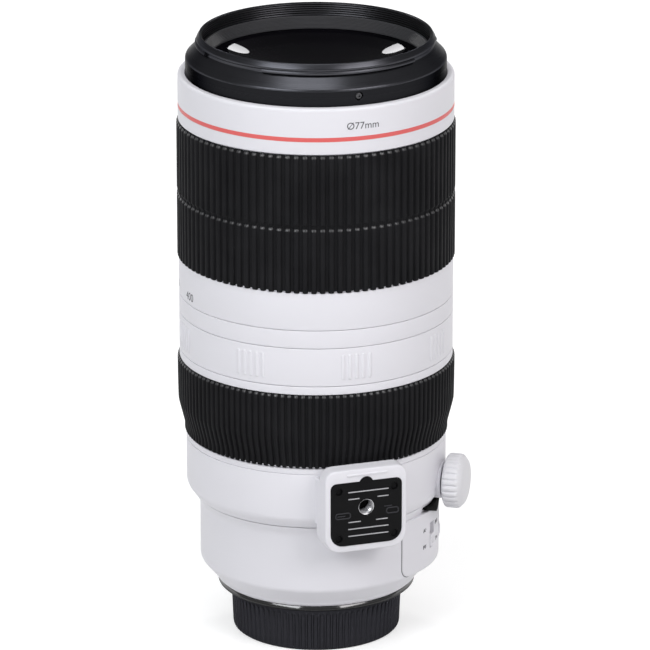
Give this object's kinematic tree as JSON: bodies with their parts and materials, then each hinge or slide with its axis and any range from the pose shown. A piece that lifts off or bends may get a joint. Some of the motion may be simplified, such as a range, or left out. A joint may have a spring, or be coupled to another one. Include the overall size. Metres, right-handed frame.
{
  "type": "camera zoom lens",
  "caption": "Telephoto zoom lens with extending front barrel, rubber zoom and focus rings, tension ring, turning tripod collar with foot plate and lock knob, switches and rear cap.",
  "frame": {"origin": "centre of the rear cap's flat base, on the optical axis", "axes": "+Z along the optical axis towards the front rim, -Y through the foot plate, +X towards the switch panel"},
  "size_m": [0.0957, 0.0992, 0.211],
  "materials": {
    "white_paint": "satin",
    "black_paint": "satin",
    "grip_rubber": "matt",
    "black_plastic": "satin",
    "chromed_brass": "polished",
    "steel": "satin",
    "aluminium": "anodised",
    "gold": "polished",
    "board": "satin",
    "accent_red": "gloss",
    "scale_print": "matt",
    "optical_glass": "coated"
  },
  "bodies": {
    "barrel": {"rear_barrel": "white_paint", "guide_barrel": "aluminium", "outer_sleeve": "white_paint", "index_ring": "white_paint", "mount_bayonet": "chromed_brass", "mount_screws": "steel", "mount_seal": "grip_rubber", "contact_block": "black_plastic", "contact_pins": "gold", "rear_baffle": "black_plastic", "circuit_board": "board", "rear_cell": "black_paint", "rear_element": "optical_glass", "switch_panel": "white_paint", "distance_window": "optical_glass", "focus_motor_stator": "steel", "focus_guide_rods": "steel", "stabiliser_base": "black_paint", "iris_housing": "black_paint", "iris_blades": "black_plastic"},
    "zoom": {"zoom_ring": "white_paint", "zoom_grip": "grip_rubber", "cam_barrel": "aluminium", "zoom_keys": "steel"},
    "front": {"extension_tube": "white_paint", "front_followers": "steel", "front_barrel": "white_paint", "accent_ring": "accent_red", "front_cell": "black_paint", "front_element": "optical_glass", "second_element": "optical_glass", "third_element": "optical_glass", "filter_ring": "black_paint", "hood_ring_screws": "steel", "front_retainer": "black_paint"},
    "variator": {"variator_cell": "black_paint", "variator_followers": "steel", "variator_front_element": "optical_glass", "variator_rear_element": "optical_glass"},
    "focus": {"focus_ring": "white_paint", "focus_grip": "grip_rubber"},
    "rotor": {"focus_motor_rotor": "aluminium", "distance_scale": "scale_print"},
    "focus_group": {"focus_cell": "black_paint", "focus_element": "optical_glass"},
    "stabiliser_side": {"stabiliser_carrier": "steel"},
    "stabiliser_lift": {"stabiliser_cell": "black_paint", "stabiliser_element": "optical_glass"},
    "tension": {"tension_ring": "white_paint"},
    "collar": {"tripod_collar": "white_paint", "foot_plate": "black_paint", "foot_plate_screws": "steel", "tripod_bush": "steel"},
    "knob": {"lock_knob": "white_paint", "lock_screw": "steel"},
    "focus_mode": {"switch_focus_mode": "white_paint"},
    "focus_range": {"switch_range": "white_paint"},
    "stabiliser_power": {"switch_stabiliser": "white_paint"},
    "stabiliser_mode": {"switch_mode": "white_paint"},
    "cap": {"rear_cap": "black_plastic"}
  },
  "joints": [
    {"name": "zoom_turn", "type": "hinge", "parent": "barrel", "child": "zoom", "pos_m": [0, 0, 0.1], "axis": [0, 0, -1], "range_deg": [0, 90]},
    {"name": "front_extend", "type": "slide", "parent": "barrel", "child": "front", "axis": [0, 0, 1], "range_m": [0, 0.08]},
    {"name": "variator_shift", "type": "slide", "parent": "barrel", "child": "variator", "axis": [0, 0, 1], "range_m": [0, 0.04]},
    {"name": "focus_turn", "type": "hinge", "parent": "barrel", "child": "focus", "pos_m": [0, 0, 0.1], "axis": [0, 0, 1], "range_deg": [0, 120]},
    {"name": "rotor_turn", "type": "hinge", "parent": "barrel", "child": "rotor", "pos_m": [0, 0, 0.1], "axis": [0, 0, 1], "range_deg": [0, 60]},
    {"name": "focus_shift", "type": "slide", "parent": "barrel", "child": "focus_group", "axis": [0, 0, 1], "range_m": [0, 0.009]},
    {"name": "stabiliser_side_shift", "type": "slide", "parent": "barrel", "child": "stabiliser_side", "axis": [1, 0, 0], "range_m": [-0.001, 0.001]},
    {"name": "stabiliser_lift_shift", "type": "slide", "parent": "stabiliser_side", "child": "stabiliser_lift", "axis": [0, 1, 0], "range_m": [-0.001, 0.001]},
    {"name": "tension_turn", "type": "hinge", "parent": "barrel", "child": "tension", "pos_m": [0, 0, 0.1], "axis": [0, 0, 1], "range_deg": [0, 60]},
    {"name": "collar_turn", "type": "hinge", "parent": "barrel", "child": "collar", "pos_m": [0, 0, 0.1], "axis": [0, 0, 1], "continuous": true},
    {"name": "knob_turn", "type": "hinge", "parent": "collar", "child": "knob", "pos_m": [0, 0, 0.0562], "axis": [0.829, -0.5592, 0], "range_deg": [0, 360]},
    {"name": "focus_mode_slide", "type": "slide", "parent": "barrel", "child": "focus_mode", "axis": [0, 0, 1], "range_m": [0, 0.004]},
    {"name": "focus_range_slide", "type": "slide", "parent": "barrel", "child": "focus_range", "axis": [0, 0, 1], "range_m": [0, 0.004]},
    {"name": "stabiliser_power_slide", "type": "slide", "parent": "barrel", "child": "stabiliser_power", "axis": [0, 0, 1], "range_m": [0, 0.004]},
    {"name": "stabiliser_mode_slide", "type": "slide", "parent": "barrel", "child": "stabiliser_mode", "axis": [0, 0, 1], "range_m": [0, 0.004]},
    {"name": "cap_turn", "type": "hinge", "parent": "barrel", "child": "cap", "pos_m": [0, 0, 0.1], "axis": [0, 0, -1], "range_deg": [0, 60]}
  ],
  "couplings": [
    {"joint": "front_extend", "follows": "zoom_turn", "m_per_rad": 0.050929},
    {"joint": "variator_shift", "follows": "zoom_turn", "m_per_rad": 0.025464},
    {"joint": "rotor_turn", "follows": "focus_turn", "ratio": 0.5},
    {"joint": "focus_shift", "follows": "focus_turn", "m_per_rad": 0.004297}
  ]
}
